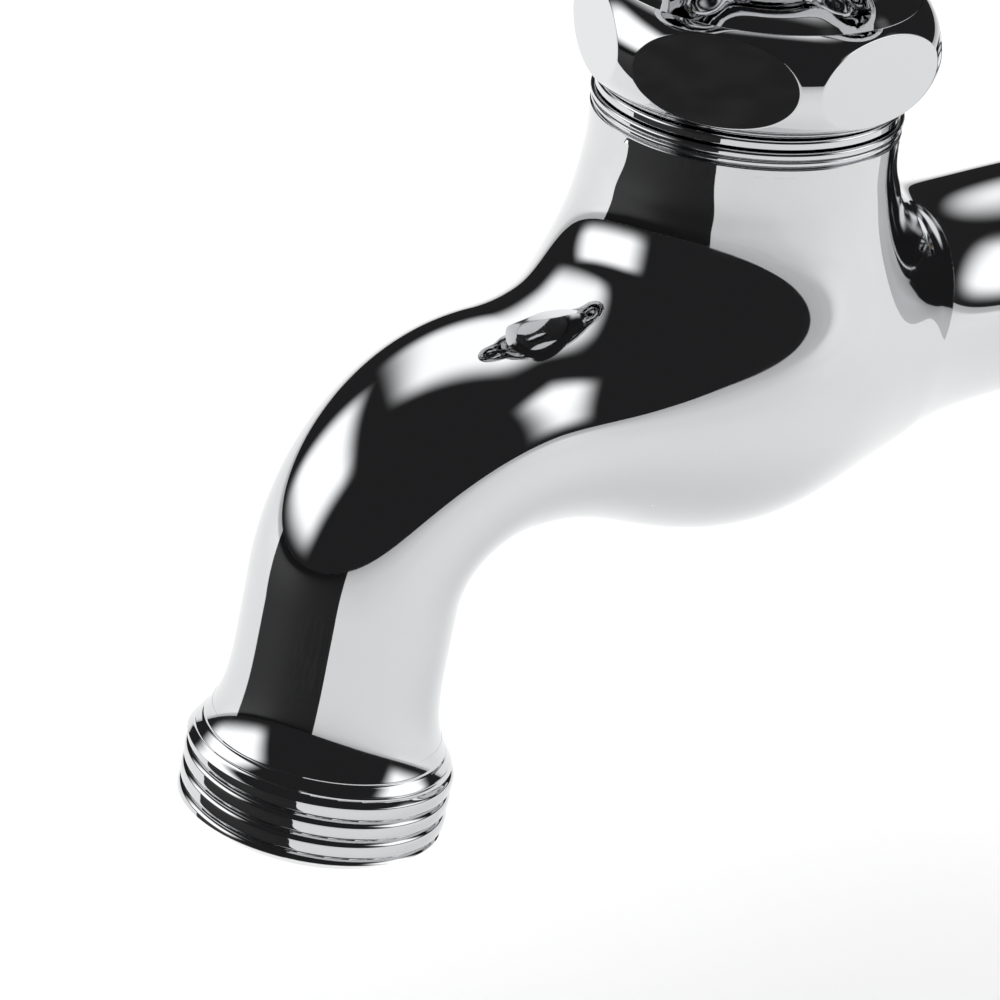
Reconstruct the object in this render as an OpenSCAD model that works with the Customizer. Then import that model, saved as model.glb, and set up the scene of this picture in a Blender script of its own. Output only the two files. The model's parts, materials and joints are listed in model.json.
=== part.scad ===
// Wall tap (hose bib) with a gooseneck spout and a threaded outlet.
// Origin: on the inlet axis, at the wall plane. +Y points into the wall, +Z is up.

/* [Body] */

// Distance from the wall to the axis of the neck
reach = 70; // [50:0.5:90]
// Outer radius of the inlet pipe
inlet_r = 11.7; // [9:0.1:15]
// Radius of the belly round the valve seat
belly_r = 18.3; // [16:0.1:22]
// Height of the belly's centre
belly_z = 1.2; // [-5:0.1:5]
// Forward offset of the belly's centre from the neck's axis
belly_fwd = 1; // [-3:0.1:3]
// Radius of the concave blend from the inlet pipe into the belly
inlet_blend_r = 25; // [10:1:40]
// Outer radius of the neck
neck_r = 15.1; // [13:0.1:18]
// Height of the neck's shoulder, where the cap nut stops
neck_top = 26.8; // [20:0.1:35]

/* [Spout] */

// Radius of the spout's tube
spout_r = 10.9; // [8:0.1:14]
// Forward distance of the elbow's start from the neck's axis
elbow_fwd = 28.5; // [20:0.1:40]
// Height of the tube's axis at the elbow's start
elbow_z = -1.5; // [-12:0.1:0]
// Bend radius of the elbow
bend_r = 16; // [11:0.1:20]
// Lean of the outlet away from the wall
outlet_lean = 7.4; // [0:0.1:15]
// Length from the elbow to the outlet's end
drop_len = 24.8; // [20:0.1:50]
// Narrowest radius of the drop
waist_r = 10.1; // [8:0.1:12]
// Radius of the water passage
passage_r = 7; // [5:0.1:8]

/* [Threads] */

// Outer radius of the outlet's thread
outlet_thread_r = 13; // [10:0.1:16]
// Pitch of the outlet's thread
outlet_pitch = 2; // [1:0.1:3]
// Number of turns on the outlet's thread
outlet_turns = 4; // [2:1:8]
// Outer radius of the inlet's thread
inlet_thread_r = 10.4775; // [8:0.0005:16]
// Pitch of the inlet's thread
inlet_pitch = 1.814; // [1:0.001:3]
// Number of turns on the inlet's thread
inlet_turns = 9; // [5:1:12]
// Lead of the spindle's thread
spindle_lead = 2.5; // [1:0.1:4]

/* [Bonnet] */

// Largest radius of the barrel-shaped cap nut
nut_r = 17.9; // [16:0.1:22]
// Size across the cap nut's flats
nut_flats = 32; // [28:0.5:38]
// Radius of the curve that makes the cap nut's barrel
nut_bulge_r = 6.1; // [4:0.1:12]
// Turn of the cap nut's flats about the neck
nut_turn = 4.6; // [0:0.1:60]
// Radius of the spindle's shaft
shaft_r = 4; // [3:0.1:6]
// Outer radius of the spindle's threaded foot
foot_r = 6.5; // [5:0.1:9]

/* [Handle] */

// Distance from the axis to each lobe's centre
lobe_fwd = 16.5; // [10:0.5:25]
// Radius of each lobe
lobe_r = 8; // [5:0.5:12]
// Height of the handle's lower rim
handle_z = 51; // [46:0.1:60]
// Height of the handle
handle_h = 13; // [8:0.5:20]

/* [Wall flange] */

// Radius of the wall flange
flange_r = 27; // [20:0.5:40]
// Depth of the wall flange
flange_depth = 9; // [5:0.5:15]

/* [Hidden] */

$fn = 96;
e = 0.01;               // overlap that keeps joined solids from only touching
running = 0.05;         // radial clearance of a moving fit
step = 0.15;            // difference in radius where two lengths of tube join
lap = 0.6;              // how far one length of tube runs into the next
seat_z = 4.6;           // top of the valve seat
nut_mid = neck_top + 6.58;              // height of the cap nut's widest circle
nut_foot = neck_top + 0.1;              // underside of the cap nut
nut_rim = neck_top + 11.6;              // edge between the barrel and the dome
nut_top = nut_foot + 19.4;              // top of the cap nut's dome
bulge_c = nut_r - nut_bulge_r;          // radius at the centre of the barrel's curve
neck_thread_r = 12.6;                   // male thread on the neck, inside the cap nut
neck_end = neck_top + 8;                // top of the neck's thread
pack_top = nut_top - 5.7;               // ceiling of the cap nut's packing room
dome_r = 16.3;                          // radius of the curve that makes the cap nut's dome
dome_lo = 45;                           // how far the dome's foot tips from upright
dome_hi = 80;                           // how far the dome's top tips from upright
dome_foot_r = 15.2;                     // radius of the dome's foot
hub_r = 6.5;                            // radius of the collar on the dome
drop_tilt = 90 - outlet_lean;           // angle of the outlet below level
crown_r = 60;                           // radius of the handle's domed top
square_w = 6;                           // square on the spindle that carries the handle
shaft_top = handle_z + 3.4;             // where the shaft becomes the square
screw_seat = handle_z + 8.6;            // floor the screw's washer sits on
chrome = [0.86, 0.87, 0.88];
brass = [0.80, 0.66, 0.36];
rubber = [0.09, 0.09, 0.10];
nylon = [0.88, 0.87, 0.82];
steel = [0.62, 0.63, 0.65];
blue = [0.10, 0.30, 0.72];

// The slant's direction and length, from the neck's axis to the elbow.
slant = atan2(-elbow_z, elbow_fwd);
slant_len = norm([elbow_fwd, elbow_z]);
// The elbow turns from level-ish to the drop; its centre lies below its start.
bend_c = [elbow_fwd - bend_r * sin(slant), elbow_z - bend_r * cos(slant)];
drop_top = bend_c + bend_r * [sin(drop_tilt), cos(drop_tilt)];
drop_dir = [cos(drop_tilt), -sin(drop_tilt)];

// Puts children on the neck's axis: +X points forward, away from the wall.
module on_neck() {
    translate([0, -reach, 0]) rotate([0, 0, -90]) children();
}

// Puts children along a line that starts at (fwd, z) beside the neck's axis and dips by `dip`
// degrees below level. Local +Z runs along the line.
module along(start, dip) {
    translate([start[0], 0, start[1]]) rotate([0, 90 + dip, 0]) children();
}

// A ring-shaped ridge of a thread: flat crest, sloping flanks, centred on z = 0.
module ridge(crest_r, root_r, pitch) {
    crest = pitch * 0.14;
    foot = pitch * 0.44;
    rotate_extrude()
        polygon([[root_r - 1, -foot], [root_r, -foot], [crest_r, -crest],
                 [crest_r, crest], [root_r, foot], [root_r - 1, foot]]);
}

// A stack of thread ridges, the first one centred half a pitch above z = 0.
module thread(crest_r, root_r, pitch, turns) {
    for (i = [0 : turns - 1])
        translate([0, 0, (i + 0.5) * pitch]) ridge(crest_r, root_r, pitch);
}

// Outline of a tube that flares on a circular arc: radius r0 at z = len, wider towards z = start.
module flare(r0, arc_r, start, len) {
    steps = 24;
    rotate_extrude()
        polygon(concat([[0, start]],
            [for (i = [0 : steps])
                let (z = start + (len - start) * i / steps)
                [r0 + arc_r - sqrt(arc_r * arc_r - pow(len - z, 2)), z]],
            [[0, len]]));
}

// Solid inlet pipe with its blend into the belly, along -Y from the wall.
module inlet_outer() {
    centre = reach + belly_fwd;
    // the blend's circle touches the pipe this far behind the belly's centre, the belly nearer
    blend_at = sqrt(pow(belly_r + inlet_blend_r, 2) - pow(inlet_r + inlet_blend_r, 2));
    touch = blend_at * belly_r / (belly_r + inlet_blend_r);
    rotate([90, 0, 0]) {
        translate([0, 0, 4]) cylinder(r = inlet_r, h = centre - 4);
        rotate_extrude() difference() {
            translate([0, centre - blend_at])
                square([inlet_r + inlet_blend_r * 0.25, blend_at - touch]);
            translate([inlet_r + inlet_blend_r, centre - blend_at]) circle(r = inlet_blend_r);
        }
    }
}

module spout_outer() {
    on_neck() {
        along([0, 0], slant) flare(spout_r + step, 60, 8, slant_len + lap);
        // web that fills the saddle between the neck and the spout
        along([5.3, 13.5], 45) cylinder(r = 8.8, h = 21);
        elbow(spout_r);
        along(drop_top - lap * drop_dir, drop_tilt) drop_outer();
    }
}

// Quarter bend between the slant and the drop, for a tube of radius r.
module elbow(r) {
    translate([bend_c[0], 0, bend_c[1]]) rotate([90, 0, 0]) rotate([0, 0, 90 - drop_tilt])
        rotate_extrude(angle = drop_tilt - slant) translate([bend_r, 0]) circle(r = r);
}

// The vertical part: eases in to the waist, flares to a collar, then carries the thread.
module drop_outer() {
    collar = drop_len - outlet_turns * outlet_pitch;
    root_r = outlet_thread_r - 1.05;
    waist = drop_len * 0.3;
    rotate_extrude()
        polygon(concat([[0, 0]],
            [for (i = [0 : 8]) let (z = waist * i / 8)
                [waist_r + (spout_r + step - waist_r) * pow(cos(90 * i / 8), 2), z]],
            [for (i = [1 : 12]) let (z = waist + (collar - 1.2 - waist) * i / 12)
                [waist_r + (outlet_thread_r - 0.15 - waist_r) * pow(i / 12, 2.1), z]],
            [[outlet_thread_r - 0.1, collar - 0.5], [root_r, collar], [root_r, drop_len - 0.5],
             [root_r - 0.5, drop_len], [0, drop_len]]));
    translate([0, 0, collar]) thread(outlet_thread_r, root_r, outlet_pitch, outlet_turns);
}

module neck_outer() {
    on_neck() {
        translate([belly_fwd, 0, belly_z]) sphere(r = belly_r);
        // neck with two beads just under the cap nut
        rotate_extrude() polygon([[0, 0], [neck_r, 0], [neck_r, neck_top - 1.9],
            [neck_r - 0.35, neck_top - 1.65], [neck_r + 0.05, neck_top - 1.5],
            [neck_r + 0.05, neck_top - 1.15], [neck_r - 0.3, neck_top - 0.95],
            [neck_r + 0.2, neck_top - 0.75], [neck_r + 0.2, neck_top - 0.15],
            [neck_r, neck_top], [0, neck_top]]);
        cylinder(r = neck_thread_r - 0.8, h = neck_end);
        translate([0, 0, neck_top + 1.2]) thread(neck_thread_r, neck_thread_r - 0.8, 1.5, 4);
    }
}

// Water's way through: inlet, under the seat, up through it, then down into the spout.
module waterway() {
    chamber_out = [6.5, 12];    // where it leaves the chamber, heading down at 45 degrees
    land_fwd = (chamber_out[0] + chamber_out[1]) / (1 - tan(slant)); // where it meets the slant
    rotate([90, 0, 0]) translate([0, 0, -20]) cylinder(r = 6.5, h = reach);
    on_neck() {
        along([-20.5, 0], 19) cylinder(r = 6.3, h = 20.5);
        translate([-20.2, 0, 0]) sphere(r = 6.6);
        translate([0, 0, -6.4]) sphere(r = 8.6);
        translate([0, 0, -5]) cylinder(r = 5.5, h = seat_z + 6);
        // chamber above the seat, with a raised seat rim left standing
        difference() {
            translate([0, 0, seat_z - 1.4]) cylinder(r = 9.6, h = 14);
            translate([0, 0, seat_z - 2]) cylinder(r1 = 7.2, r2 = 6.8, h = 2);
        }
        translate([0, 0, 12]) cylinder(r = foot_r + running, h = 30);
        along(chamber_out, 45) cylinder(r = 5.5, h = (land_fwd - chamber_out[0]) / cos(45));
        along([land_fwd, -land_fwd * tan(slant)], slant) {
            sphere(r = passage_r);
            cylinder(r = passage_r, h = slant_len - land_fwd / cos(slant) + lap);
        }
        elbow(passage_r - step);
        along(drop_top - lap * drop_dir, drop_tilt) {
            cylinder(r = passage_r, h = drop_len + 1);
            translate([0, 0, drop_len * 0.45]) cylinder(r1 = passage_r, r2 = 10, h = 8);
            translate([0, 0, drop_len * 0.45 + 8 - e]) cylinder(r = 10, h = drop_len);
        }
    }
}

module inlet_thread() {
    root_r = inlet_thread_r - 1.16;
    len = inlet_turns * inlet_pitch;
    translate([0, len - 3, 0]) rotate([90, 0, 0]) {
        cylinder(r1 = root_r - 0.4, r2 = root_r, h = 1);
        translate([0, 0, 1 - e]) cylinder(r = root_r, h = len + 4.5);
        thread(inlet_thread_r, root_r, inlet_pitch, inlet_turns);
    }
}

module body() {
    color(chrome) difference() {
        union() {
            neck_outer();
            inlet_outer();
            spout_outer();
            inlet_thread();
        }
        waterway();
    }
}

module cap_nut() {
    color(chrome) on_neck() difference() {
        union() {
            intersection() {
                rotate_extrude() intersection() {
                    translate([bulge_c, nut_mid]) circle(r = nut_bulge_r);
                    translate([bulge_c - 1, nut_foot]) square([nut_r, nut_rim - nut_foot]);
                }
                rotate([0, 0, nut_turn]) linear_extrude(height = 100)
                    circle(r = nut_flats / 2 / cos(30), $fn = 6);
            }
            // foot ring, core and dome
            rotate_extrude() polygon(concat(
                [[0, nut_foot], [neck_r + 0.2, nut_foot], [neck_r + 0.4, nut_foot + 0.2],
                 [neck_r + 0.4, nut_foot + 0.75], [neck_r - 0.1, nut_foot + 0.95],
                 [bulge_c + 2, nut_foot + 1.1], [bulge_c + 2, nut_rim - 0.6],
                 [14.6, nut_rim - 0.5], [14.6, nut_rim - 0.1]],
                [for (i = [0 : 10]) let (a = dome_lo + (dome_hi - dome_lo) * i / 10)
                    [dome_foot_r + dome_r * (cos(a) - cos(dome_lo)),
                     nut_rim + dome_r * (sin(a) - sin(dome_lo))]],
                [[hub_r, nut_top - 3], [hub_r, nut_top - 0.6], [hub_r - 0.6, nut_top],
                 [0, nut_top]]));
        }
        translate([0, 0, nut_foot - 1])
            cylinder(r = neck_thread_r + running, h = neck_end - nut_foot + 1.3);
        translate([0, 0, neck_end]) cylinder(r = 8, h = pack_top - neck_end);
        translate([0, 0, nut_foot]) cylinder(r = shaft_r + running, h = 40);
    }
}

// Ring in the cap nut that the packing rests on.
module packing_seat() {
    color(brass) on_neck() rotate_extrude()
        polygon([[shaft_r + 0.3, neck_end + 0.4], [7.9, neck_end + 0.4],
                 [7.9, neck_end + 3.6], [7.4, neck_end + 3.6], [5.4, neck_end + 1.6],
                 [shaft_r + 0.3, neck_end + 1.6]]);
}

// Rubber packing, a cone that is squeezed against the shaft.
module gland_packing() {
    color(rubber) on_neck() rotate_extrude()
        polygon([[shaft_r + running, neck_end + 1.65], [5.3, neck_end + 1.65],
                 [7.3, neck_end + 3.65], [7.3, neck_end + 4.6], [shaft_r + running, neck_end + 4.6]]);
}

// Hard ring between the packing and the cap nut.
module gland_ring() {
    color(nylon) on_neck() translate([0, 0, neck_end + 4.65]) difference() {
        cylinder(r = 7.6, h = pack_top - neck_end - 4.7);
        translate([0, 0, -1]) cylinder(r = shaft_r + running, h = 10);
    }
}

module spindle() {
    foot_z = 12.2;
    root_r = foot_r - 0.9;
    color(brass) on_neck() difference() {
        union() {
            translate([0, 0, foot_z]) cylinder(r = root_r, h = 16.5);
            translate([0, 0, foot_z + 1]) thread(foot_r, root_r, spindle_lead, 6);
            cylinder_from(foot_z + 16, shaft_top, shaft_r);
            translate([-square_w / 2, -square_w / 2, shaft_top - e])
                cube([square_w, square_w, screw_seat - shaft_top - 1.2]);
        }
        // socket for the jumper's stem
        translate([0, 0, foot_z - 1]) cylinder(r = 3.05, h = 13);
        // tapped hole for the handle screw
        translate([0, 0, screw_seat - 10]) cylinder(r = 2.05, h = 12);
    }
}

// Cylinder between two heights.
module cylinder_from(z0, z1, r) {
    translate([0, 0, z0]) cylinder(r = r, h = z1 - z0);
}

module jumper_valve() {
    color(brass) on_neck() {
        cylinder_from(seat_z + 3.1, seat_z + 5.3, 8);
        cylinder_from(seat_z + 5.3 - e, seat_z + 6.4, 4.5);
        cylinder_from(seat_z + 6.4 - e, 22.6, 3);
        cylinder_from(seat_z - 2.6, seat_z + 3.1 + e, 1.8);
    }
}

module jumper_washer() {
    color(rubber) on_neck() difference() {
        cylinder_from(seat_z + 0.03, seat_z + 3.07, 7.6);
        cylinder_from(seat_z - 1, seat_z + 4, 1.85);
    }
}

module jumper_nut() {
    color(brass) on_neck() difference() {
        translate([0, 0, seat_z - 2.2]) linear_extrude(height = 2.2) circle(r = 3.9, $fn = 6);
        cylinder_from(seat_z - 3, seat_z + 1, 1.85);
    }
}

// Plan of the handle: three round lobes on a round middle.
module lobes(shrink) {
    for (a = [0 : 120 : 240]) rotate([0, 0, a]) translate([lobe_fwd, 0])
        circle(r = lobe_r - shrink);
    circle(r = lobe_fwd + 0.7 - shrink);
}

// The handle's block: its plan under a shallow dome, shrunk all round by `shrink`.
module handle_block(shrink) {
    top = handle_z + handle_h - shrink;
    intersection() {
        translate([0, 0, handle_z - shrink]) linear_extrude(height = handle_h) lobes(shrink);
        translate([0, 0, top - crown_r]) sphere(r = crown_r);
    }
}

module handle() {
    color(chrome) on_neck() difference() {
        union() {
            difference() {
                handle_block(0);
                handle_block(2);
            }
            cylinder_from(handle_z - 1.2, handle_z + handle_h - 2, 7);
        }
        // socket for the shaft's end and its square
        cylinder_from(handle_z - 2, shaft_top + 0.1, shaft_r + 0.1);
        translate([-square_w / 2 - 0.05, -square_w / 2 - 0.05, shaft_top - e])
            cube([square_w + 0.1, square_w + 0.1, screw_seat - shaft_top - 1]);
        cylinder_from(screw_seat - 3, screw_seat + 1, 2.3);
        // recess for the screw, with a step for the index cap
        cylinder_from(screw_seat, handle_z + handle_h + 1, 5);
        cylinder_from(handle_z + handle_h - 2.2, handle_z + handle_h + 1, 7.05);
    }
}

module handle_washer() {
    color(steel) on_neck() difference() {
        cylinder_from(screw_seat + 0.02, screw_seat + 0.62, 4.4);
        cylinder_from(screw_seat - 1, screw_seat + 1, 2.3);
    }
}

module handle_screw() {
    head = screw_seat + 0.64;
    color(steel) on_neck() difference() {
        union() {
            cylinder_from(head, head + 1.4, 3.6);
            cylinder_from(screw_seat - 7, head + e, 2);
        }
        for (a = [0, 90]) rotate([0, 0, a])
            translate([-2, -0.4, head + 0.7]) cube([4, 0.8, 2]);
    }
}

module index_cap() {
    color(blue) on_neck() {
        cylinder_from(handle_z + handle_h - 2.15, handle_z + handle_h - 1.35, 7);
        rotate_extrude() intersection() {
            translate([0, handle_z + handle_h - 0.35 - 30]) circle(r = 30);
            translate([0, handle_z + handle_h - 1.4]) square([6.7, 3]);
        }
    }
}

module wall_flange() {
    sheet = 0.8;
    color(chrome) rotate([90, 0, 0]) difference() {
        bowl(0);
        bowl(sheet);
        translate([0, 0, -1]) cylinder(r = inlet_r + 0.3, h = 30);
    }
}

// Half of a lens: flange_r wide at the wall, closing towards the room.
module bowl(inset) {
    r = flange_r - inset;
    h = flange_depth - inset;
    ball = (r * r + h * h) / (2 * h);
    rotate_extrude() intersection() {
        translate([0, h - ball]) circle(r = ball);
        translate([0, inset > 0 ? -1 : 0]) square([r, h + 1]);
    }
}

module flange_gasket() {
    color(rubber) rotate([90, 0, 0]) difference() {
        translate([0, 0, 0.05]) cylinder(r = flange_r - 3.5, h = 1);
        translate([0, 0, -1]) cylinder(r = flange_r - 8, h = 3);
    }
}

body();
cap_nut();
packing_seat();
gland_packing();
gland_ring();
spindle();
jumper_valve();
jumper_washer();
jumper_nut();
handle();
handle_washer();
handle_screw();
index_cap();
wall_flange();
flange_gasket();
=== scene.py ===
import json
import math

import bpy
import numpy as np
from mathutils import Matrix, Vector


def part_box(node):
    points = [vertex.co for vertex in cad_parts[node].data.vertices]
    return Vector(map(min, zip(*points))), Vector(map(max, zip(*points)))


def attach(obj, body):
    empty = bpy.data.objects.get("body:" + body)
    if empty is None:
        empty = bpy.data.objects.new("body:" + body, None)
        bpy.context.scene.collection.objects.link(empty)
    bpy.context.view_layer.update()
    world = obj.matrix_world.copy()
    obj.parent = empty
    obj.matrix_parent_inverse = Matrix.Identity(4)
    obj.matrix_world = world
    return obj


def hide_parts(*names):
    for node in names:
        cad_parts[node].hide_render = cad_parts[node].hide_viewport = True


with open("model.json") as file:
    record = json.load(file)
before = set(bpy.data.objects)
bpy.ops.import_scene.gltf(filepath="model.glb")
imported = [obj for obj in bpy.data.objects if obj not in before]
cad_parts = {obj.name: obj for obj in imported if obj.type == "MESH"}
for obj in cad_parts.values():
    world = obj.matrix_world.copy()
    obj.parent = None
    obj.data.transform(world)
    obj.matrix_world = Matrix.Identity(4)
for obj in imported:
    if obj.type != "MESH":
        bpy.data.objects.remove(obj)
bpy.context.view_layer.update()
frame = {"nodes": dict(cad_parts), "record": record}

# ------------------------------------------------------------------ sizes, in mm
# The row frame: x across, y into the wall, z up. `fwd` is the distance forward of the neck's axis.
def box_of(node):
    """A CAD node's lowest and highest corners, in mm."""
    return np.array(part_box(node)) * 1000


turning = next(j for j in frame["record"]["behaviour"]["joints"] if j["name"] == "handle_turn")
REACH = -turning["pos_m"][1] * 1000          # wall plane to the neck's axis

# The casting's outside.
NECK_R = 15.1
INLET_R = 11.7
INLET_ROOT = -18.0                           # fwd where the straight inlet pipe ends
INLET_CUT = 1.5                              # the cast pipe ends this far before the wall plane
BELLY_R = 16.0
BELLY_FWD, BELLY_Z = 3.0, 1.0
NECK_BLEND, INLET_BLEND, SPOUT_BLEND = 13.0, 22.0, 5.0    # widths of the casting's fillets
CAST_CELL = 0.52                             # size of the casting's quads
BEYOND_WALL = 20.0                           # the inlet's fields run this far past the wall

# The outlet's thread, with rounded ridges, and its end.
OUTLET_R = 13.0
OUTLET_PITCH = 2.0
OUTLET_TURNS = 4
OUTLET_THREAD = OUTLET_PITCH * OUTLET_TURNS
OUTLET_BORE, OUTLET_BORE_LEN = 10.0, 9.6
GROOVE = 0.6                                 # depth of the outlet's thread
END_CUT = 1.6                                # chamfer on the outlet's end
THREAD_FADE = 0.9                            # length over which the last ridge runs out

# The inlet's thread. Heights on it are from the wall plane, into the wall.
INLET_THREAD_R = 10.4775
INLET_PITCH = 1.814
INLET_TURNS = 9
INLET_DEPTH = 1.1
INLET_BORE = 6.5
INLET_FOOT = -3.0
INLET_END = INLET_FOOT + INLET_PITCH * INLET_TURNS

# The spout's centre line: a slant that dips a little, a bend, then the drop to the outlet.
BEND_START = np.array([28.5, -1.5])          # fwd, z
SLANT_DIP = math.atan2(-BEND_START[1], BEND_START[0])
BEND_R = 16.0
DROP_LEAN = math.radians(7.4)
DROP_LEN = 24.2
BEND_TURN = math.pi / 2 - DROP_LEAN - SLANT_DIP
BEND_LEN = BEND_R * BEND_TURN
SPOUT_LEN = BEND_LEN + DROP_LEN              # from the bend's start to the outlet's end
# Its radii: a round root in the belly, the bend, a waist below it and the collar of the flare.
ROOT_R, TAPER_LEN = 15.5, 25.0
SPOUT_R = 11.0
WAIST_R, WAIST_AT = 10.1, BEND_LEN + 4
COLLAR_R, COLLAR_AT = OUTLET_R - 0.6, SPOUT_LEN - OUTLET_THREAD
SCORE = OUTLET_THREAD + 0.95                 # height of the score line above the outlet's end
SCORE_DEPTH, SCORE_WIDTH = 0.07, 0.1
TURNED = SPOUT_LEN - SCORE                   # the score line's place along the spout
LAP = 0.35                                   # the cast skin ends this far above the score line,
LAP_TOP = 1.3                                # and the outlet's skin, over it, this far above
LAP_PROUD = 0.012                            # height of the outlet's skin over the cast one

# The water passage: drillings with round ends, as (fwd, z) from and to and a radius.
PASSAGE_R = 7.0
PASSAGE_START = 19.0                         # fwd where the spout's passage starts
MOUTH_WIDER, MOUTH_LEN = 2.6, 4.0            # the passage widens this much, over this length
DRILLINGS = (((6.5, 12), (19.5, -1), 5.5),
             ((-REACH - BEYOND_WALL, 0), (-20, 0), INLET_BORE),
             ((-20, 0), (0, -6.4), 6.3),
             ((0, -6), (0, 6), 5.5),
             ((0, 14), (0, 40), 6.55))
CHAMBER_R, CHAMBER_Z, CHAMBER_HALF = 9.6, 10.9, 6.3

# The neck's turned top and the cap nut on it.
NUT_FOOT, NUT_TOP = box_of("cap_nut")[:, 2]
NECK_END = box_of("body")[1, 2]              # top of the neck's thread, inside the cap nut
NECK_BORE = 6.6
NECK_TOP = NUT_FOOT - 0.1                    # shoulder that the cap nut stops at
RING_FOOT = NECK_TOP - 2.5                   # where the turned rings start on the neck
RING_PROUD = 0.01                            # the rings cover the top of the cast neck
NECK_FADE = 6.0                              # height over which the fillets fade out below them
NUT_MID = NUT_FOOT + 6.5                     # height of the cap nut's widest circle
NUT_RIM = NUT_FOOT + 11.5                    # edge between the barrel and the dome
NUT_BULGE_R = 6.1
NUT_BULGE_C = 17.9 - NUT_BULGE_R             # the barrel's radius is 17.9 at its widest
NUT_APOTHEM = 16.0
NUT_BORE = 12.7
NUT_SKIRT = 1.2                              # height of the round skirt below the barrel
NUT_TURN = math.radians(34.6)                # azimuth of the first flat, from -Y towards +X
DOME_R, DOME_FOOT = 16.3, 15.2               # the dome's own radius, and its radius at the rim
DOME_FROM, DOME_TO = 45, 80                  # angles that the dome's arc runs between
SHAFT_R = 4.0

# The handle, its well for the index cap, and the flange.
HANDLE_TOP = box_of("index_cap")[1, 2] + 0.35
HANDLE_Z = box_of("handle")[0, 2] + 1.2      # the rim, above the end of the hub
HANDLE_R = 15.6
LOBE_FWD = 16.5
LOBE_R = 8.0
CROWN_R = 60.0
HANDLE_DRAFT = 0.08                          # the sides lean in by this share of their height
HANDLE_WALL, CROWN_WALL = 2.2, 2.4
HUB_R = 7.0
INDEX_R = 6.8
INDEX_Z = HANDLE_TOP - 2.15
FLANGE_R = box_of("wall_flange")[1, 0]
FLANGE_DEPTH = 9.0
FLANGE_HOLE = 12.0


# ------------------------------------------------------------------ fields
def smooth_min(a, b, width):
    """The lesser of two fields, with a fillet about `width` wide where they meet."""
    gap = np.maximum(width - np.abs(a - b), 0) / width
    return np.minimum(a, b) - gap ** 3 * width / 6


def smooth_max(a, b, width):
    """The greater of two fields, with a fillet about `width` wide where they meet."""
    return -smooth_min(-a, -b, width)


def ease(share):
    """Goes from 0 to 1 as the share does, with no kink in slope or curvature at either end."""
    share = np.clip(share, 0, 1)
    return share ** 3 * (6 * share ** 2 - 15 * share + 10)


def spout_radius(place):
    """Radius of the spout at a distance past the bend's start: taper, waist, then flare."""
    taper = (ROOT_R - SPOUT_R) * ease(-place / TAPER_LEN)
    narrowing = (SPOUT_R - WAIST_R) * ease(place / WAIST_AT)
    flared = np.clip((place - WAIST_AT) / (COLLAR_AT - WAIST_AT), 0, 1) ** 4
    return SPOUT_R + taper - narrowing + (COLLAR_R - WAIST_R) * flared


def along_spout(fwd, z):
    """Distance along the spout's centre line from the bend's start, and the offset from it."""
    slant = np.array([math.cos(SLANT_DIP), -math.sin(SLANT_DIP)])
    drop = np.array([math.sin(DROP_LEAN), -math.cos(DROP_LEAN)])
    centre = BEND_START - BEND_R * np.array([math.sin(SLANT_DIP), math.cos(SLANT_DIP)])
    bend_end = centre + BEND_R * np.array([math.cos(DROP_LEAN), math.sin(DROP_LEAN)])
    before = (fwd - BEND_START[0]) * slant[0] + (z - BEND_START[1]) * slant[1]
    after = (fwd - bend_end[0]) * drop[0] + (z - bend_end[1]) * drop[1]
    turned = np.arctan2(fwd - centre[0], z - centre[1]) - SLANT_DIP
    place = np.where(before < 0, before, np.where(
        after > 0, BEND_LEN + after, BEND_R * np.clip(turned, 0, BEND_TURN)))
    offset = np.where(
        before < 0, (fwd - BEND_START[0]) * -slant[1] + (z - BEND_START[1]) * slant[0],
        np.where(after > 0, (fwd - bend_end[0]) * -drop[1] + (z - bend_end[1]) * drop[0],
                 np.hypot(fwd - centre[0], z - centre[1]) - BEND_R))
    return place, offset


def outlet_end():
    """Middle of the outlet's end, in the row frame, and the direction back up the drop."""
    up = np.array([0, math.sin(DROP_LEAN), math.cos(DROP_LEAN)])
    centre = BEND_START - BEND_R * np.array([math.sin(SLANT_DIP), math.cos(SLANT_DIP)])
    fwd = centre[0] + BEND_R * math.cos(DROP_LEAN) + DROP_LEN * math.sin(DROP_LEAN)
    z = centre[1] + BEND_R * math.sin(DROP_LEAN) - DROP_LEN * math.cos(DROP_LEAN)
    return np.array([0, -REACH - fwd, z]), up


def rod(x, fwd, z, start, end, radius):
    """Field of a round-ended rod between two (fwd, z) points."""
    start, end = np.array(start, float), np.array(end, float)
    span = end - start
    share = np.clip(((fwd - start[0]) * span[0] + (z - start[1]) * span[1]) / (span @ span), 0, 1)
    return np.sqrt((fwd - start[0] - share * span[0]) ** 2
                   + (z - start[1] - share * span[1]) ** 2 + x ** 2) - radius


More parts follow.
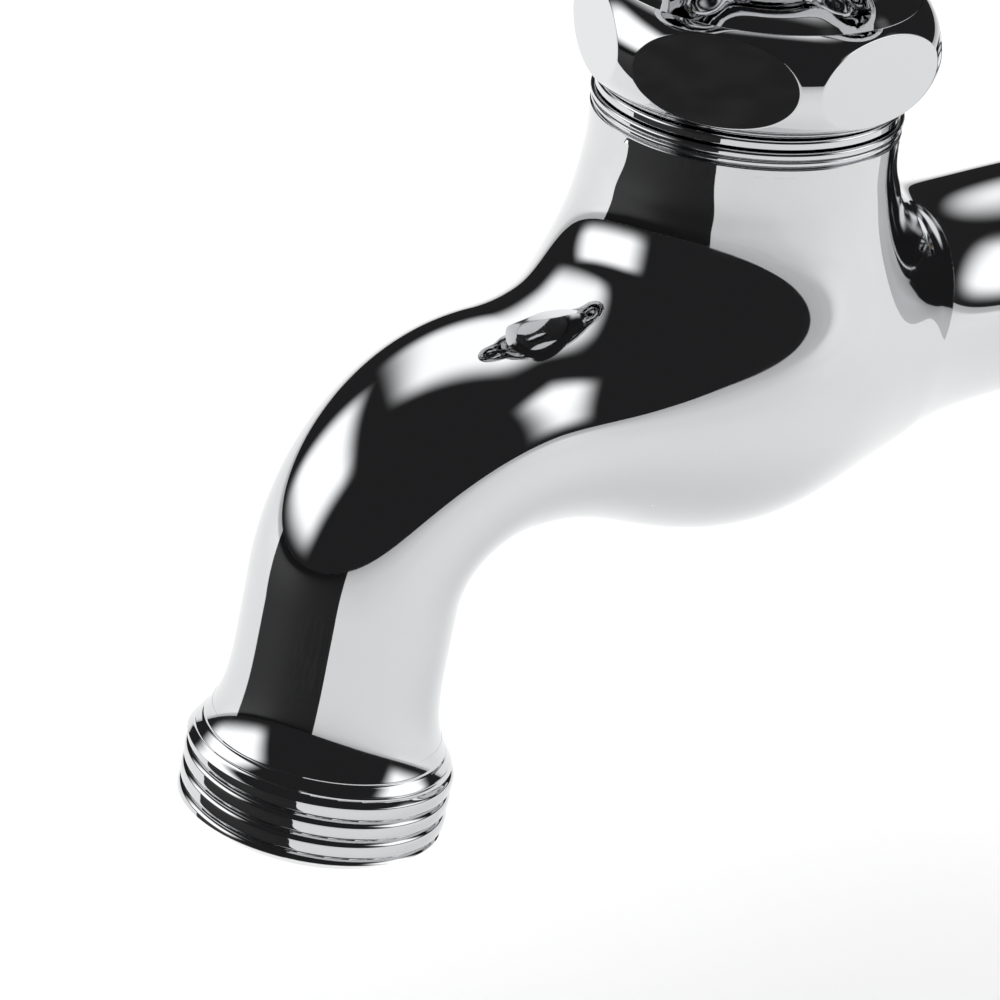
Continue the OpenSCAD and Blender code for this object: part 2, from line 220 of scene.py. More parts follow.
def casting_field(p):
    """The cast body, less its water passage. Negative inside."""
    x, fwd, z = p[:, 0], -p[:, 1] - REACH, p[:, 2]
    place, offset = along_spout(fwd, z)
    from_line = np.sqrt(offset ** 2 + x ** 2 + np.minimum(place + TAPER_LEN, 0) ** 2)
    spout = np.maximum(from_line - spout_radius(place), place - TURNED + LAP)
    neck = rod(x, fwd, z, (0, 1), (0, 60), NECK_R)
    belly = np.sqrt(x ** 2 + (fwd - BELLY_FWD) ** 2 + (z - BELLY_Z) ** 2) - BELLY_R
    inlet = rod(x, fwd, z, (-REACH - BEYOND_WALL, 0), (INLET_ROOT, 0), INLET_R)
    outside = smooth_min(smooth_min(belly, neck, NECK_BLEND), inlet, INLET_BLEND)
    outside = smooth_min(outside, spout, SPOUT_BLEND)
    # towards the rings the fillets fade out, so that the neck meets them as a plain cylinder
    plain = ease((z - RING_FOOT) / NECK_FADE + 1)
    outside = outside * (1 - plain) + neck * plain
    outside = np.maximum(outside, z - RING_FOOT - 0.6)
    outside = np.maximum(outside, p[:, 1] + INLET_CUT)

    bore = PASSAGE_R + MOUTH_WIDER * np.clip((place - TURNED + MOUTH_LEN) / MOUTH_LEN, 0, 1)
    water = np.maximum(from_line - bore, PASSAGE_START - fwd)
    for start, end, radius in DRILLINGS:
        water = np.minimum(water, rod(x, fwd, z, start, end, radius))
    chamber = np.maximum(np.hypot(x, fwd) - CHAMBER_R, np.abs(z - CHAMBER_Z) - CHAMBER_HALF)
    return np.maximum(outside, -np.minimum(water, chamber))


def handle_field(p):
    """Three-lobed handle: a rounded shell, open below, with a hub. Negative inside."""
    x, fwd, z = p[:, 0], -p[:, 1] - REACH, p[:, 2]
    from_axis = np.hypot(x, fwd)
    plan = from_axis - HANDLE_R
    for a in (0, 2 * math.pi / 3, 4 * math.pi / 3):
        lobe = np.hypot(x - LOBE_FWD * math.sin(a), fwd - LOBE_FWD * math.cos(a)) - LOBE_R + 0.1
        plan = smooth_min(plan, lobe, 6)
    side = plan + 1 - HANDLE_DRAFT * (HANDLE_TOP - z)
    dome = np.sqrt(from_axis ** 2 + (z - HANDLE_TOP + CROWN_R) ** 2) - CROWN_R
    outside = smooth_max(smooth_max(side, dome, 6), HANDLE_Z - z, 1.2)
    hollow = smooth_max(side + HANDLE_WALL, dome + CROWN_WALL, 4)
    shell = np.maximum(outside, -hollow)
    hub = np.maximum(from_axis - HUB_R, np.maximum(z - HANDLE_TOP + 2, HANDLE_Z - 1.2 - z))
    solid = smooth_min(shell, hub, 2)
    index_well = np.maximum(from_axis - 7.3, HANDLE_TOP - 2.3 - z)
    screw_well = np.maximum(from_axis - 5, HANDLE_Z + 8.6 - z)
    socket = np.maximum(from_axis - SHAFT_R - 0.12, z - HANDLE_Z - 8)
    return np.maximum(solid, -np.minimum(np.minimum(index_well, screw_well), socket))


# ------------------------------------------------------------------ meshes
def slopes_of(field, points, step=0.02):
    """Field values at the points, and the field's gradient there."""
    gradient = np.stack([field(points + step * axis) - field(points - step * axis)
                         for axis in np.eye(3)], 1) / (2 * step)
    return field(points), gradient


def onto_surface(field, points, rounds=3):
    """Moves points along the gradient until the field is zero. Returns them with unit normals."""
    longest, flattest = 0.4, 0.05
    for _ in range(rounds):
        value, gradient = slopes_of(field, points)
        squared = np.maximum((gradient ** 2).sum(1), flattest)
        points = points - (np.clip(value, -longest, longest) / squared)[:, None] * gradient
    gradient = slopes_of(field, points)[1]
    return points, gradient / np.linalg.norm(gradient, axis=1)[:, None]


def cell_vertices(values):
    """One vertex for each grid cell that the surface crosses, at the mean of the crossings on its
    edges, in grid steps. Also each cell's vertex number, -1 where it has none."""
    cells = np.array(values.shape) - 1

    def corner(of, at):
        """The grid's values at the same corner of every cell."""
        return of[tuple(slice(a, a + n) for a, n in zip(at, cells))]

    filled = sum(corner(values < 0, at).astype(np.int8) for at in np.ndindex(2, 2, 2))
    mixed = (filled > 0) & (filled < 8)
    index = np.full(cells, -1)
    index[mixed] = np.arange(mixed.sum())
    total, hits = np.zeros((mixed.sum(), 3)), np.zeros(mixed.sum())
    for axis in range(3):
        for at in np.ndindex(2, 2, 2):
            if at[axis]:
                continue
            far = tuple(at[k] + (k == axis) for k in range(3))
            near_value, far_value = corner(values, at)[mixed], corner(values, far)[mixed]
            crosses = (near_value < 0) != (far_value < 0)
            share = near_value / np.where(crosses, near_value - far_value, 1)
            crossing = np.array(at, float) + share[:, None] * np.eye(3)[axis]
            total += crossing * crosses[:, None]
            hits += crosses
    return np.argwhere(mixed) + total / hits[:, None], index


def cell_quads(inside, index):
    """A quad round each grid edge that the surface crosses, facing outwards."""
    cells = index.shape
    faces, unit = [], np.eye(3, dtype=int)
    for axis in range(3):
        b, c = (axis + 1) % 3, (axis + 2) % 3
        first = np.take(inside, range(inside.shape[axis] - 1), axis)
        second = np.take(inside, range(1, inside.shape[axis]), axis)
        edge = np.argwhere(first != second)
        edge = edge[(edge[:, b] > 0) & (edge[:, c] > 0)
                    & (edge[:, b] < cells[b]) & (edge[:, c] < cells[c])]
        quad = np.stack([index[tuple((edge - shift).T)]
                         for shift in (0 * unit[b], unit[b], unit[b] + unit[c], unit[c])], 1)
        leaving = first[tuple(edge.T)]
        quad[~leaving] = quad[~leaving][:, ::-1]
        faces.append(quad)
    return np.concatenate(faces)


def evened(field, points, faces):
    """Moves each vertex halfway to its neighbours' mean and back onto the surface, three times.
    Returns the points with unit normals."""
    ends = np.concatenate([faces[:, [k, (k + 1) % 4]] for k in range(4)])
    count = np.bincount(ends[:, 0], minlength=len(points))[:, None]
    for _ in range(3):
        mean = np.stack([np.bincount(ends[:, 0], points[ends[:, 1], k], len(points))
                         for k in range(3)], 1) / count
        points = onto_surface(field, (points + mean) / 2, rounds=1)[0]
    return onto_surface(field, points)


def skin_of(field, low, high, cell):
    """Quads over the surface field = 0 between two corners, about `cell` across."""
    axes = [np.arange(a, b + cell, cell) for a, b in zip(low, high)]
    grid = np.stack(np.meshgrid(*axes, indexing="ij"), -1)
    values = field(grid.reshape(-1, 3)).reshape(grid.shape[:3])
    steps, index = cell_vertices(values)
    faces = cell_quads(values < 0, index)
    points, normals = evened(field, steps * cell + np.array(low), faces)
    return points, faces, normals


def grid_faces(rows, columns):
    """Quads of a grid whose columns close round on themselves."""
    row, column = np.meshgrid(np.arange(rows - 1), np.arange(columns), indexing="ij")
    row, column = row.ravel(), column.ravel()
    after = (column + 1) % columns
    return np.stack([row * columns + column, row * columns + after,
                     (row + 1) * columns + after, (row + 1) * columns + column], 1)


def outline(corners):
    """Points and outward normals of a lathe profile from (r, z, fillet) corners, a closed loop
    with its solid on the left. A fillet of 0 leaves the corner sharp."""
    points, normals = [], []
    count = len(corners)
    for i, (r, z, fillet) in enumerate(corners):
        here = np.array([r, z], float)
        back = here - np.array(corners[i - 1][:2])
        ahead = np.array(corners[(i + 1) % count][:2]) - here
        turn_from, turn_to = math.atan2(back[1], back[0]), math.atan2(ahead[1], ahead[0])
        turn = (turn_to - turn_from + math.pi) % (2 * math.pi) - math.pi
        room = 0.49 * min(np.linalg.norm(back), np.linalg.norm(ahead))
        reach = min(abs(fillet * math.tan(turn / 2)), room)
        radius = reach / max(abs(math.tan(turn / 2)), 1e-9)
        start = here - reach * back / np.linalg.norm(back)
        side = math.copysign(1, turn)
        steps = max(2, int(abs(turn) / math.radians(12)) + 1) if fillet else 2
        first_left = np.array([-math.sin(turn_from), math.cos(turn_from)])
        for k in range(steps):
            a = turn_from + turn * k / (steps - 1)
            left = np.array([-math.sin(a), math.cos(a)])
            points.append(start + side * radius * (first_left - left))
            normals.append(-left)
    return np.array(points + points[:1]), np.array(normals + normals[:1])


def lathe(corners, segments=240):
    """The profile turned about local z."""
    profile, across = outline(corners)
    turn = np.linspace(0, 2 * math.pi, segments, endpoint=False)
    ring = np.stack([np.cos(turn), np.sin(turn)], 1)

    def spun(pairs):
        flat = pairs[:, None, :1] * ring[None]
        return np.concatenate([flat, np.broadcast_to(pairs[:, None, 1:], flat.shape[:2] + (1,))],
                              -1).reshape(-1, 3)

    return spun(profile), grid_faces(len(profile), segments), spun(across)


def round_points(radius_at, turn, height, step):
    """Points at radius_at(turn, height) about local z, and the surface's unit normals there."""
    def at(t, h):
        r = radius_at(t, h)
        return np.stack([r * np.cos(t), r * np.sin(t), h], 1)

    normals = np.cross(at(turn + step, height) - at(turn - step, height),
                       at(turn, height + step) - at(turn, height - step))
    return at(turn, height), normals / np.linalg.norm(normals, axis=1)[:, None]


def round_sheet(radius_at, heights, segments=360):
    """Surface at radius_at(turn, height) about local z, open at both ends."""
    turn, height = np.meshgrid(np.linspace(0, 2 * math.pi, segments, endpoint=False), heights)
    points, normals = round_points(radius_at, turn.ravel(), height.ravel(), 1e-3)
    return points, grid_faces(len(heights), segments), normals


def nut_radius(turn, height):
    """Radius of the cap nut's barrel: a bulged ring cut by six flats with softened edges."""
    from_mid = np.clip(height - NUT_MID, -NUT_BULGE_R + 0.01, NUT_BULGE_R - 0.01)
    barrel = NUT_BULGE_C + np.sqrt(NUT_BULGE_R ** 2 - from_mid ** 2)
    sector = math.pi / 3
    from_flat = (turn + sector / 2) % sector - sector / 2
    return smooth_min(barrel, NUT_APOTHEM / np.cos(from_flat), 0.1)


def nut_barrel(low, high):
    """The barrel in six sectors, each a fan round the middle of a flat, close-set at its edge."""
    half_turn, half_high = math.pi / 6, (high - low) / 2
    middle = (high + low) / 2
    spokes = np.radians(np.arange(0, 360, 2.5))
    square = 1 / np.maximum(np.abs(np.cos(spokes)), np.abs(np.sin(spokes)))

    def at(share):
        """Turn and height at a share of the way from the flat's middle to the sector's edge."""
        return (half_turn * share * np.cos(spokes),
                middle + half_high * share * np.sin(spokes))

    near, far = np.zeros_like(spokes), square.copy()
    for _ in range(40):
        half = (near + far) / 2
        turn, height = at(half)
        on_flat = (NUT_BULGE_C + np.sqrt(NUT_BULGE_R ** 2 - (height - NUT_MID) ** 2)
                   ) * np.cos(turn) > NUT_APOTHEM
        near, far = np.where(on_flat, half, near), np.where(on_flat, far, half)
    rings = [near * s for s in (0.02, 0.5, 0.85, 0.94, 0.97, 0.985, 0.995, 1)]
    rings += [near + (square - near) * s for s in (0.01, 0.03, 0.08, 0.16, 0.28, 0.42, 0.6, 0.8, 1)]
    turn, height = (np.concatenate(part) for part in zip(*(at(ring) for ring in rings)))
    points, faces, normals = [], [], []
    for k in range(6):
        sector_points, sector_normals = round_points(nut_radius, k * math.pi / 3 + turn, height, 1e-4)
        base = k * len(turn)
        points.append(sector_points)
        normals.append(sector_normals)
        faces += (grid_faces(len(rings), len(spokes))[:, ::-1] + base).tolist()
        faces.append((np.arange(len(spokes)) + base).tolist())
    return np.concatenate(points), faces, np.concatenate(normals)


def placed(surface, origin, axis, spin=0.0):
    """Moves a surface whose own z is its axis so that it lies along `axis` at `origin`."""
    points, faces, normals = surface
    z = np.array(axis, float) / np.linalg.norm(axis)
    x = np.cross([1.0, 0, 0] if abs(z[0]) < 0.9 else [0, 1.0, 0], z)
    x /= np.linalg.norm(x)
    y = np.cross(z, x)
    turned = np.stack([math.cos(spin) * x + math.sin(spin) * y,
                       math.cos(spin) * y - math.sin(spin) * x, z])
    return points @ turned + np.array(origin, float), faces, normals @ turned


def piece(name, surfaces, material, body, slot, *nodes):
    """One object made of several surfaces, riding on a body and standing for CAD nodes."""
    points = np.concatenate([s[0] for s in surfaces]) / 1000
    normals = np.concatenate([s[2] for s in surfaces])
    faces, base = [], 0
    for surface in surfaces:
        faces += [[int(v) + base for v in face] for face in surface[1]]
        base += len(surface[0])
    mesh = bpy.data.meshes.new(name)
    mesh.from_pydata(points.tolist(), [], faces)
    mesh.shade_smooth()
    mesh.normals_split_custom_set_from_vertices(normals.tolist())
    mesh.materials.append(material)
    made = bpy.data.objects.new(name, mesh)
    bpy.context.scene.collection.objects.link(made)
    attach(made, body)
    if nodes:
        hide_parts(*nodes)
    return made


# ------------------------------------------------------------------ material helpers
class Graph:
    """Small helper that adds nodes to a tree and links them by input name."""

    def __init__(self, tree):
        self.tree = tree
        tree.nodes.clear()

    def add(self, kind, inputs=None, **settings):
        node = self.tree.nodes.new(kind)
        for name, value in settings.items():
            setattr(node, name, value)
        for name, value in (inputs or {}).items():
            if isinstance(value, bpy.types.NodeSocket):
                self.tree.links.new(value, node.inputs[name])
            else:
                node.inputs[name].default_value = value
        return node

    def math(self, operation, *values):
        return self.add("ShaderNodeMath", dict(enumerate(values)), operation=operation).outputs[0]

    def noise(self, at, scale, detail):
        return self.add("ShaderNodeTexNoise",
                        {"Vector": at, "Scale": scale, "Detail": detail}).outputs[0]

    def band(self, value, low, high, to_low=0.0, to_high=1.0):
        """Eases from to_low to to_high as the value goes from low to high."""
        return self.add("ShaderNodeMapRange", {"Value": value, "From Min": low, "From Max": high,
                                               "To Min": to_low, "To Max": to_high},
                        interpolation_type="SMOOTHSTEP").outputs[0]


def new_material(name):
    made = bpy.data.materials.new(name)
    made.use_nodes = True
    return made, Graph(made.node_tree)


def chrome_material():
    """Polished plating: faint haze, hairline wiping marks and a few specks of dust."""
    made, g = new_material("chrome_plate")
    at = g.add("ShaderNodeTexCoord").outputs["Object"]
    haze = g.noise(at, 60.0, 4.0)
    mottle = g.noise(at, 900.0, 2.0)
    roughness = g.math("ADD", g.band(haze, 0.35, 0.75, 0.018, 0.05),
                       g.band(mottle, 0.6, 0.8, 0.0, 0.02))
    stretched = g.add("ShaderNodeMapping", {"Vector": at, "Scale": (1.0, 1.0, 0.04),
                                            "Rotation": (0.5, 0.3, 0.0)}).outputs[0]
    hairs = g.band(g.noise(stretched, 2600.0, 1.0), 0.70, 0.76)
    ripple = g.noise(at, 130.0, 1.0)
    height = g.math("ADD", g.math("MULTIPLY", ripple, 0.35), g.math("MULTIPLY", hairs, -0.05))
    bump = g.add("ShaderNodeBump", {"Height": height, "Strength": 0.02, "Distance": 0.0004})
    plate = g.add("ShaderNodeBsdfPrincipled", {
        "Base Color": (0.655, 0.66, 0.67, 1), "Metallic": 1.0, "Roughness": roughness,
        "Normal": bump.outputs[0]})
    # dust: rare small dots, picked by each cell's own random colour
    cells = g.add("ShaderNodeTexVoronoi", {"Vector": at, "Scale": 480.0, "Randomness": 1.0})
    picked = g.add("ShaderNodeSeparateColor", {"Color": cells.outputs["Color"]}).outputs[0]
    size = g.band(picked, 0.975, 1.0, 0.0, 0.13)
    speck = g.math("MULTIPLY", g.math("LESS_THAN", cells.outputs["Distance"], size), 0.75)
    dust = g.add("ShaderNodeBsdfPrincipled", {"Base Color": (0.75, 0.76, 0.78, 1),
                                              "Roughness": 0.8})
    mix = g.add("ShaderNodeMixShader", {0: speck, 1: plate.outputs[0], 2: dust.outputs[0]})
    g.add("ShaderNodeOutputMaterial", {"Surface": mix.outputs[0]})
    return made


def metal_material(name, colour, dark, roughness):
    """Turned metal: fine lathe rings about the neck's axis and tarnish in patches."""
    made, g = new_material(name)
    at = g.add("ShaderNodeTexCoord").outputs["Object"]
    rings = g.add("ShaderNodeTexWave", {"Vector": at, "Scale": 1200.0, "Distortion": 1.5,
                                        "Detail": 2.0}, wave_type="BANDS", bands_direction="Z")
    tarnish = g.band(g.noise(at, 220.0, 5.0), 0.4, 0.7)
    shade = g.add("ShaderNodeMix", {"Factor": tarnish, "A": colour, "B": dark},
                  data_type="RGBA")
    bump = g.add("ShaderNodeBump", {"Height": rings.outputs[1], "Strength": 0.25,
                                    "Distance": 0.00005})
    metal = g.add("ShaderNodeBsdfPrincipled", {
        "Base Color": shade.outputs[2], "Metallic": 1.0,
        "Roughness": g.band(tarnish, 0, 1, roughness, roughness + 0.15),
        "Normal": bump.outputs[0]})
    g.add("ShaderNodeOutputMaterial", {"Surface": metal.outputs[0]})
    return made


def moulded_material(name, colour, other, roughness, grain):
    """Rubber or plastic: slight change of colour and a moulded grain."""
    made, g = new_material(name)
    at = g.add("ShaderNodeTexCoord").outputs["Object"]
    cloud = g.band(g.noise(at, 150.0, 4.0), 0.35, 0.7)
    shade = g.add("ShaderNodeMix", {"Factor": cloud, "A": colour, "B": other}, data_type="RGBA")
    bump = g.add("ShaderNodeBump", {"Height": g.noise(at, 3000.0, 2.0), "Strength": grain,
                                    "Distance": 0.00005})
    stuff = g.add("ShaderNodeBsdfPrincipled", {
        "Base Color": shade.outputs[2], "Roughness": g.band(cloud, 0, 1, roughness,
                                                            roughness + 0.08),
        "Normal": bump.outputs[0]})
    g.add("ShaderNodeOutputMaterial", {"Surface": stuff.outputs[0]})
    return made


chrome = chrome_material()
brass = metal_material("turned_brass", (0.72, 0.53, 0.22, 1), (0.50, 0.35, 0.14, 1), 0.22)
steel = metal_material("turned_steel", (0.60, 0.60, 0.61, 1), (0.42, 0.42, 0.43, 1), 0.28)
rubber = moulded_material("black_rubber", (0.018, 0.018, 0.02, 1), (0.035, 0.035, 0.037, 1),
                          0.6, 0.3)
nylon = moulded_material("natural_nylon", (0.80, 0.78, 0.70, 1), (0.70, 0.67, 0.58, 1), 0.4, 0.1)
blue = moulded_material("blue_plastic", (0.012, 0.10, 0.46, 1), (0.010, 0.08, 0.38, 1), 0.16, 0.03)


# ------------------------------------------------------------------ the pieces
NECK_AXIS = ((0, -REACH, 0), (0, 0, 1))


def outlet_radius(turn, height):
    """Outside of the outlet, by turn and height above its end: rounded threads, then the flare."""
    flare = spout_radius(SPOUT_LEN - height) + LAP_PROUD
    score = SCORE_DEPTH * np.exp(-((height - SCORE) / SCORE_WIDTH) ** 2)
    phase = (height / OUTLET_PITCH + turn / (2 * math.pi)) % 1
    ridge = OUTLET_R - GROOVE * np.abs(2 * phase - 1) ** 4
    start = np.clip((OUTLET_THREAD - height) / THREAD_FADE, 0, 1)
    thread = (OUTLET_R - GROOVE) * (1 - start) + ridge * start
    thread = np.minimum(thread, OUTLET_R - END_CUT + np.maximum(height, 0) * 1.4)
    edge = np.clip((height - OUTLET_THREAD) / 0.12 + 0.5, 0, 1)
    return thread * (1 - edge) + (flare - score) * edge


end, up_drop = outlet_end()
cast_low = (-19.6, -REACH - 58, -39)
cast_high = (19.6, 0, 26.5)
piece("casting", [skin_of(casting_field, cast_low, cast_high, CAST_CELL)],
      chrome, "tap", "chrome", "body")
piece("outlet_thread",
      [placed(round_sheet(outlet_radius, np.linspace(0, SCORE + LAP_TOP, 160)), end, up_drop),
       placed(lathe([(OUTLET_BORE, OUTLET_BORE_LEN, 0), (OUTLET_BORE, 0, 0.3),
                     (OUTLET_R - END_CUT, 0, 0), (OUTLET_R - END_CUT - 0.15, 0.3, 0),
                     (OUTLET_BORE + 0.6, 0.6, 0), (OUTLET_BORE + 0.6, OUTLET_BORE_LEN, 0)]),
              end, up_drop)],
      chrome, "tap", "chrome", "body")


def inlet_radius(turn, height):
    """Outside of the inlet's thread, by turn and height past the wall plane."""
    phase = (height / INLET_PITCH - turn / (2 * math.pi)) % 1
    ridge = INLET_THREAD_R - INLET_DEPTH * np.clip(np.abs(2 * phase - 1) * 1.25 - 0.18, 0, 1)
    end_cut = np.maximum(INLET_END + 0.05 - height, 0)
    return np.minimum(ridge, INLET_THREAD_R - INLET_DEPTH + end_cut)


piece("inlet_thread",
      [placed(round_sheet(inlet_radius, np.arange(INLET_FOOT, INLET_END, 0.1)),
              (0, 0, 0), (0, 1, 0)),
       placed(lathe([(9.2, INLET_FOOT, 0), (9.4, INLET_END, 0.3), (INLET_BORE, INLET_END, 0.3),
                     (INLET_BORE, INLET_FOOT, 0)]),
              (0, 0, 0), (0, 1, 0))],
      chrome, "tap", "chrome", "body")
piece("neck_rings",
      [placed(lathe([(13.0, RING_FOOT, 0), (NECK_R + RING_PROUD, RING_FOOT, 0),
                     (NECK_R + RING_PROUD, NECK_TOP - 1.75, 0.15),
                     (NECK_R - 0.4, NECK_TOP - 1.6, 0.1), (NECK_R - 0.4, NECK_TOP - 1.5, 0.1),
                     (NECK_R - 0.05, NECK_TOP - 1.48, 0.2), (NECK_R - 0.05, NECK_TOP - 1.02, 0.2),
                     (NECK_R - 0.5, NECK_TOP - 0.94, 0.1), (NECK_R - 0.5, NECK_TOP - 0.84, 0.1),
                     (NECK_R + 0.1, NECK_TOP - 0.8, 0.25), (NECK_R + 0.1, NECK_TOP - 0.1, 0.3),
                     (NUT_BORE - 0.1, NECK_TOP, 0), (NUT_BORE - 0.1, NECK_END - 0.2, 0.5),
                     (NECK_BORE, NECK_END, 0), (NECK_BORE, RING_FOOT, 0)]),
              *NECK_AXIS)],
      chrome, "tap", "chrome", "body")

dome = []
for a in range(DOME_FROM, DOME_TO + 1, 5):
    r = DOME_FOOT + DOME_R * (math.cos(math.radians(a)) - math.cos(math.radians(DOME_FROM)))
    z = NUT_RIM + DOME_R * (math.sin(math.radians(a)) - math.sin(math.radians(DOME_FROM)))
    dome.append((r, z, DOME_R))
piece("cap_nut_skin",
      [placed(nut_barrel(NUT_FOOT + NUT_SKIRT - 0.15, NUT_RIM), *NECK_AXIS, spin=NUT_TURN),
       placed(lathe([(NUT_BORE, NUT_FOOT, 0), (NECK_R - 0.25, NUT_FOOT, 0.15),
                     (NECK_R - 0.25, NUT_FOOT + 0.85, 0.3), (NECK_R - 0.75, NUT_FOOT + 0.95, 0.1),
                     (NECK_R - 0.75, NUT_FOOT + NUT_SKIRT, 0), (NUT_BORE, NUT_FOOT + NUT_SKIRT, 0)]),
              *NECK_AXIS),
       placed(lathe([(14.0, NUT_RIM - 0.3, 0), (DOME_FOOT + 0.05, NUT_RIM - 0.02, 0)] + dome
                    + [(6.5, NUT_TOP - 3.1, 0.8), (6.5, NUT_TOP, 0.6),
                       (SHAFT_R + 0.06, NUT_TOP, 0.3), (SHAFT_R + 0.06, NUT_TOP - 5.3, 0),
                       (14.0, NUT_RIM - 0.5, 0)]),
              *NECK_AXIS)],
      chrome, "tap", "chrome", "cap_nut")

handle_low = (-24, -REACH - 26, HANDLE_Z - 2)
handle_high = (24, -REACH + 18, HANDLE_TOP + 1)
piece("handle_shell",
      [skin_of(handle_field, handle_low, handle_high, 0.42),
       placed(lathe([(6.95, HANDLE_TOP - 2.2, 0), (7.9, HANDLE_TOP - 2.2, 0),
                     (7.9, HANDLE_TOP - 0.45, 0.35), (6.95, HANDLE_TOP - 0.45, 0.35)]),
              *NECK_AXIS)],
      chrome, "stem", "chrome", "handle")
piece("index_disc",
      [placed(lathe([(0.01, INDEX_Z, 0), (INDEX_R, INDEX_Z, 0.1), (INDEX_R, INDEX_Z + 1.2, 0.35),
                     (5.9, INDEX_Z + 1.35, 0.2), (5.75, INDEX_Z + 1.25, 0.1),
                     (5.5, INDEX_Z + 1.25, 0.1), (5.35, INDEX_Z + 1.4, 0.2),
                     (3.0, INDEX_Z + 1.62, 6), (0.01, INDEX_Z + 1.7, 0)]),
              *NECK_AXIS)],
      blue, "stem", "index_blue", "index_cap")
piece("flange_dish",
      [placed(lathe([(FLANGE_R - 0.9, 0, 0), (FLANGE_R, 0, 0.2), (FLANGE_R, 1.1, 0.5),
                     (FLANGE_R - 1.2, 1.7, 0.8), (FLANGE_R - 4, 3.0, 6), (20.0, 5.9, 8),
                     (15.5, 8.2, 6), (FLANGE_HOLE + 0.6, FLANGE_DEPTH, 0.4),
                     (FLANGE_HOLE, FLANGE_DEPTH, 0.2), (FLANGE_HOLE, FLANGE_DEPTH - 0.9, 0),
                     (15.2, 7.4, 5), (19.6, 5.1, 8), (FLANGE_R - 4.2, 2.2, 6),
                     (FLANGE_R - 1.5, 1.0, 0.5)]),
              (0, 0, 0), (0, -1, 0))],
      chrome, "tap", "chrome", "wall_flange")

# these keep their CAD shapes and get better materials
for node, material in (("packing_seat", brass), ("gland_packing", rubber), ("gland_ring", nylon),
                       ("spindle", brass), ("jumper_valve", brass), ("jumper_washer", rubber),
                       ("jumper_nut", brass), ("handle_washer", steel), ("handle_screw", steel),
                       ("flange_gasket", rubber)):
    mesh = frame["nodes"][node].data
    mesh.materials.clear()
    mesh.materials.append(material)


# ------------------------------------------------------------------ floor, light and camera
# Blender's own lengths, in metres.
TAP_MIDDLE = Vector((0, -(REACH + 20) / 1000, 0.005))
FLOOR_Z, FLOOR_R = -0.075, 4.0


def soft_box(name, azimuth, height, wide, tall, power):
    """A rectangular soft light one metre from the tap, facing it and fading towards its edges.
    Angles are in degrees: azimuth 0 is in front of the tap and 90 is on its +X side."""
    turn, rise = math.radians(azimuth), math.radians(height)
    away = Vector((math.sin(turn) * math.cos(rise), -math.cos(turn) * math.cos(rise),
                   math.sin(rise)))
    data = bpy.data.lights.new(name, "AREA")
    data.shape = "RECTANGLE"
    data.size, data.size_y = wide, tall
    data.energy = power
    data.use_nodes = True
    g = Graph(data.node_tree)
    place = g.add("ShaderNodeSeparateXYZ", {
        "Vector": g.add("ShaderNodeNewGeometry").outputs["Parametric"]}).outputs
    across, along = (g.band(g.math("ABSOLUTE", g.math("SUBTRACT", place[k], 0.5)),
                            0.2, 0.5, 1.0, 0.0) for k in (0, 1))
    glow = g.add("ShaderNodeEmission", {"Strength": g.math("MULTIPLY", across, along)})
    g.add("ShaderNodeOutputLight", {"Surface": glow.outputs[0]})
    light = bpy.data.objects.new(name, data)
    light.matrix_world = Matrix.Translation(TAP_MIDDLE + away) @ away.to_track_quat(
        "Z", "Y").to_matrix().to_4x4()
    bpy.context.scene.collection.objects.link(light)


def dim_room():
    """Even, pale light all round, except that polished metal mirrors a dim room."""
    world = bpy.data.worlds.new("studio")
    world.use_nodes = True
    g = Graph(world.node_tree)
    mirrored = g.add("ShaderNodeBackground", {"Color": (0.02, 0.02, 0.021, 1)})
    pale = g.add("ShaderNodeBackground", {"Color": (0.83, 0.83, 0.83, 1)})
    glossy_ray = g.add("ShaderNodeLightPath").outputs["Is Glossy Ray"]
    mix = g.add("ShaderNodeMixShader", {0: glossy_ray, 1: pale.outputs[0], 2: mirrored.outputs[0]})
    g.add("ShaderNodeOutputWorld", {"Surface": mix.outputs[0]})
    bpy.context.scene.world = world


def pale_floor():
    """A plain round table top below the spout."""
    floor = bpy.data.objects.new("floor", bpy.data.meshes.new("floor"))
    corners = 64
    turn = np.linspace(0, 2 * math.pi, corners, endpoint=False)
    rim = np.stack([FLOOR_R * np.cos(turn), FLOOR_R * np.sin(turn), np.full(corners, FLOOR_Z)], 1)
    floor.data.from_pydata(rim.tolist(), [], [list(range(corners))])
    made, g = new_material("white_table")
    at = g.add("ShaderNodeTexCoord").outputs["Object"]
    tint = g.band(g.noise(at, 3.0, 2.0), 0.3, 0.7, 0.80, 0.84)
    paper = g.add("ShaderNodeBsdfPrincipled", {"Base Color": tint, "Roughness": 0.7})
    g.add("ShaderNodeOutputMaterial", {"Surface": paper.outputs[0]})
    floor.data.materials.append(made)
    bpy.context.scene.collection.objects.link(floor)


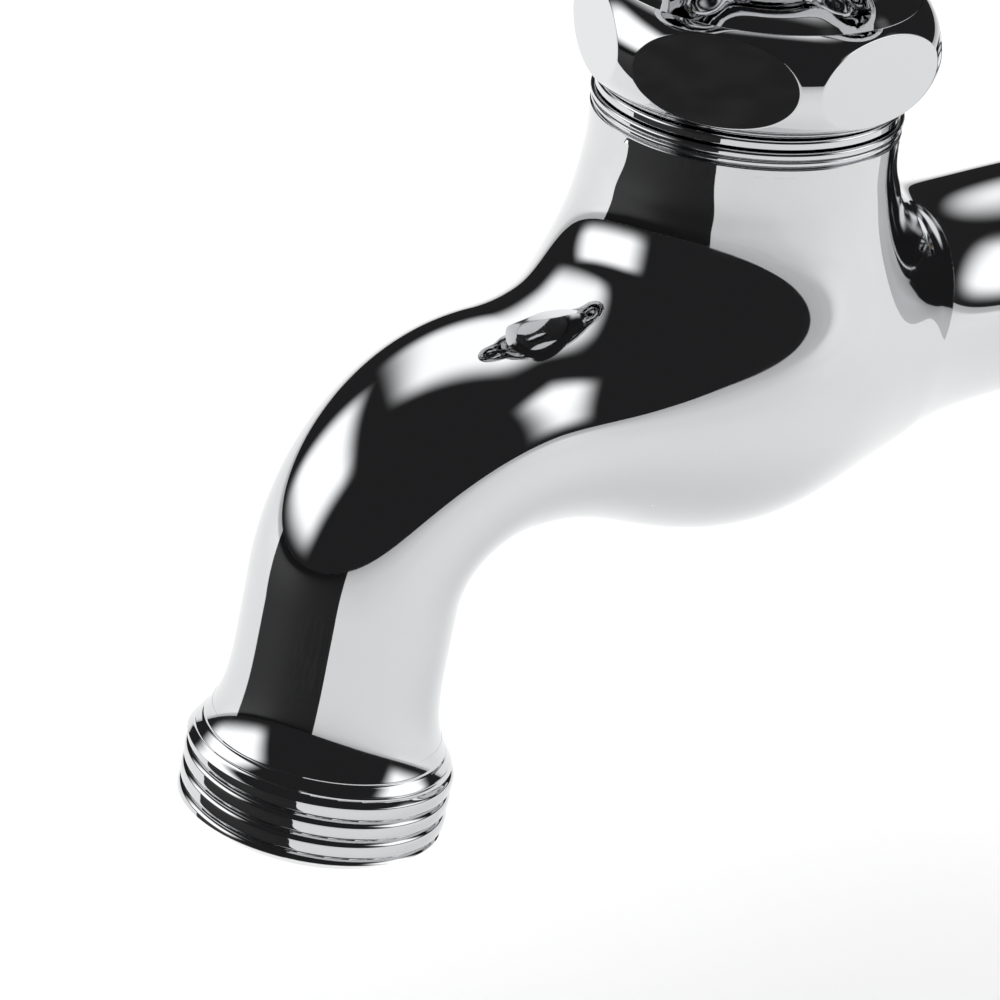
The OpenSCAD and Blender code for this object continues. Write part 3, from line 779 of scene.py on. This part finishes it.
def dark_card():
    """A black card on the table in front of the tap: a wedge from below the spout almost to the
    table's rim. It gives the chrome's upright walls their dark bands. Only reflections show it."""
    left, right = math.radians(-50), math.radians(36)
    near, far = 0.03, FLOOR_R - 0.15
    spout_y, height = end[1] / 1000, FLOOR_Z + 0.0005
    corners = [(far * math.sin(a), spout_y - far * math.cos(a), height)
               for a in np.linspace(left, right, 16)]
    corners += [(near * math.sin(a), spout_y - near * math.cos(a), height) for a in (right, left)]
    card = bpy.data.objects.new("dark_card", bpy.data.meshes.new("dark_card"))
    card.data.from_pydata(corners, [], [list(range(len(corners)))])
    card.data.materials.append(moulded_material(
        "black_card", (0.010, 0.010, 0.011, 1), (0.016, 0.016, 0.017, 1), 0.8, 0.1))
    card.visible_camera = card.visible_diffuse = card.visible_shadow = False
    bpy.context.scene.collection.objects.link(card)


def make_camera():
    """The camera: 0.4 m from the spout, above it and on its +X side, rolled a little."""
    azimuth, height, roll = (math.radians(a) for a in (48.5, 26.2, 5.9))
    distance = 0.4
    back = Vector((math.sin(azimuth) * math.cos(height), -math.cos(azimuth) * math.cos(height),
                   math.sin(height)))
    level = Vector((math.cos(azimuth), math.sin(azimuth), 0))
    upright = back.cross(level)
    right = level * math.cos(roll) + upright * math.sin(roll)
    up = upright * math.cos(roll) - level * math.sin(roll)
    aim_fwd, aim_z, aim_left = 22 / 1000, -0.012, 0.0032
    aim = Vector((0, -REACH / 1000 - aim_fwd, aim_z)) - level * aim_left
    data = bpy.data.cameras.new("camera")
    data.sensor_width = 36
    data.lens = 148.4
    data.clip_start, data.clip_end = 0.01, 50
    camera = bpy.data.objects.new("camera", data)
    bpy.context.scene.collection.objects.link(camera)
    camera.matrix_world = Matrix.Translation(aim + back * distance) @ Matrix(
        (right, up, back)).transposed().to_4x4()
    bpy.context.scene.camera = camera


dim_room()
soft_box("key_light", azimuth=-40, height=22, wide=1.5, tall=0.85, power=6.5)
soft_box("top_light", azimuth=-130, height=60, wide=1.6, tall=1.6, power=12)
soft_box("back_light", azimuth=140, height=22, wide=1.0, tall=0.8, power=4)
pale_floor()
dark_card()
make_camera()
bpy.context.scene.view_settings.view_transform = "Standard"
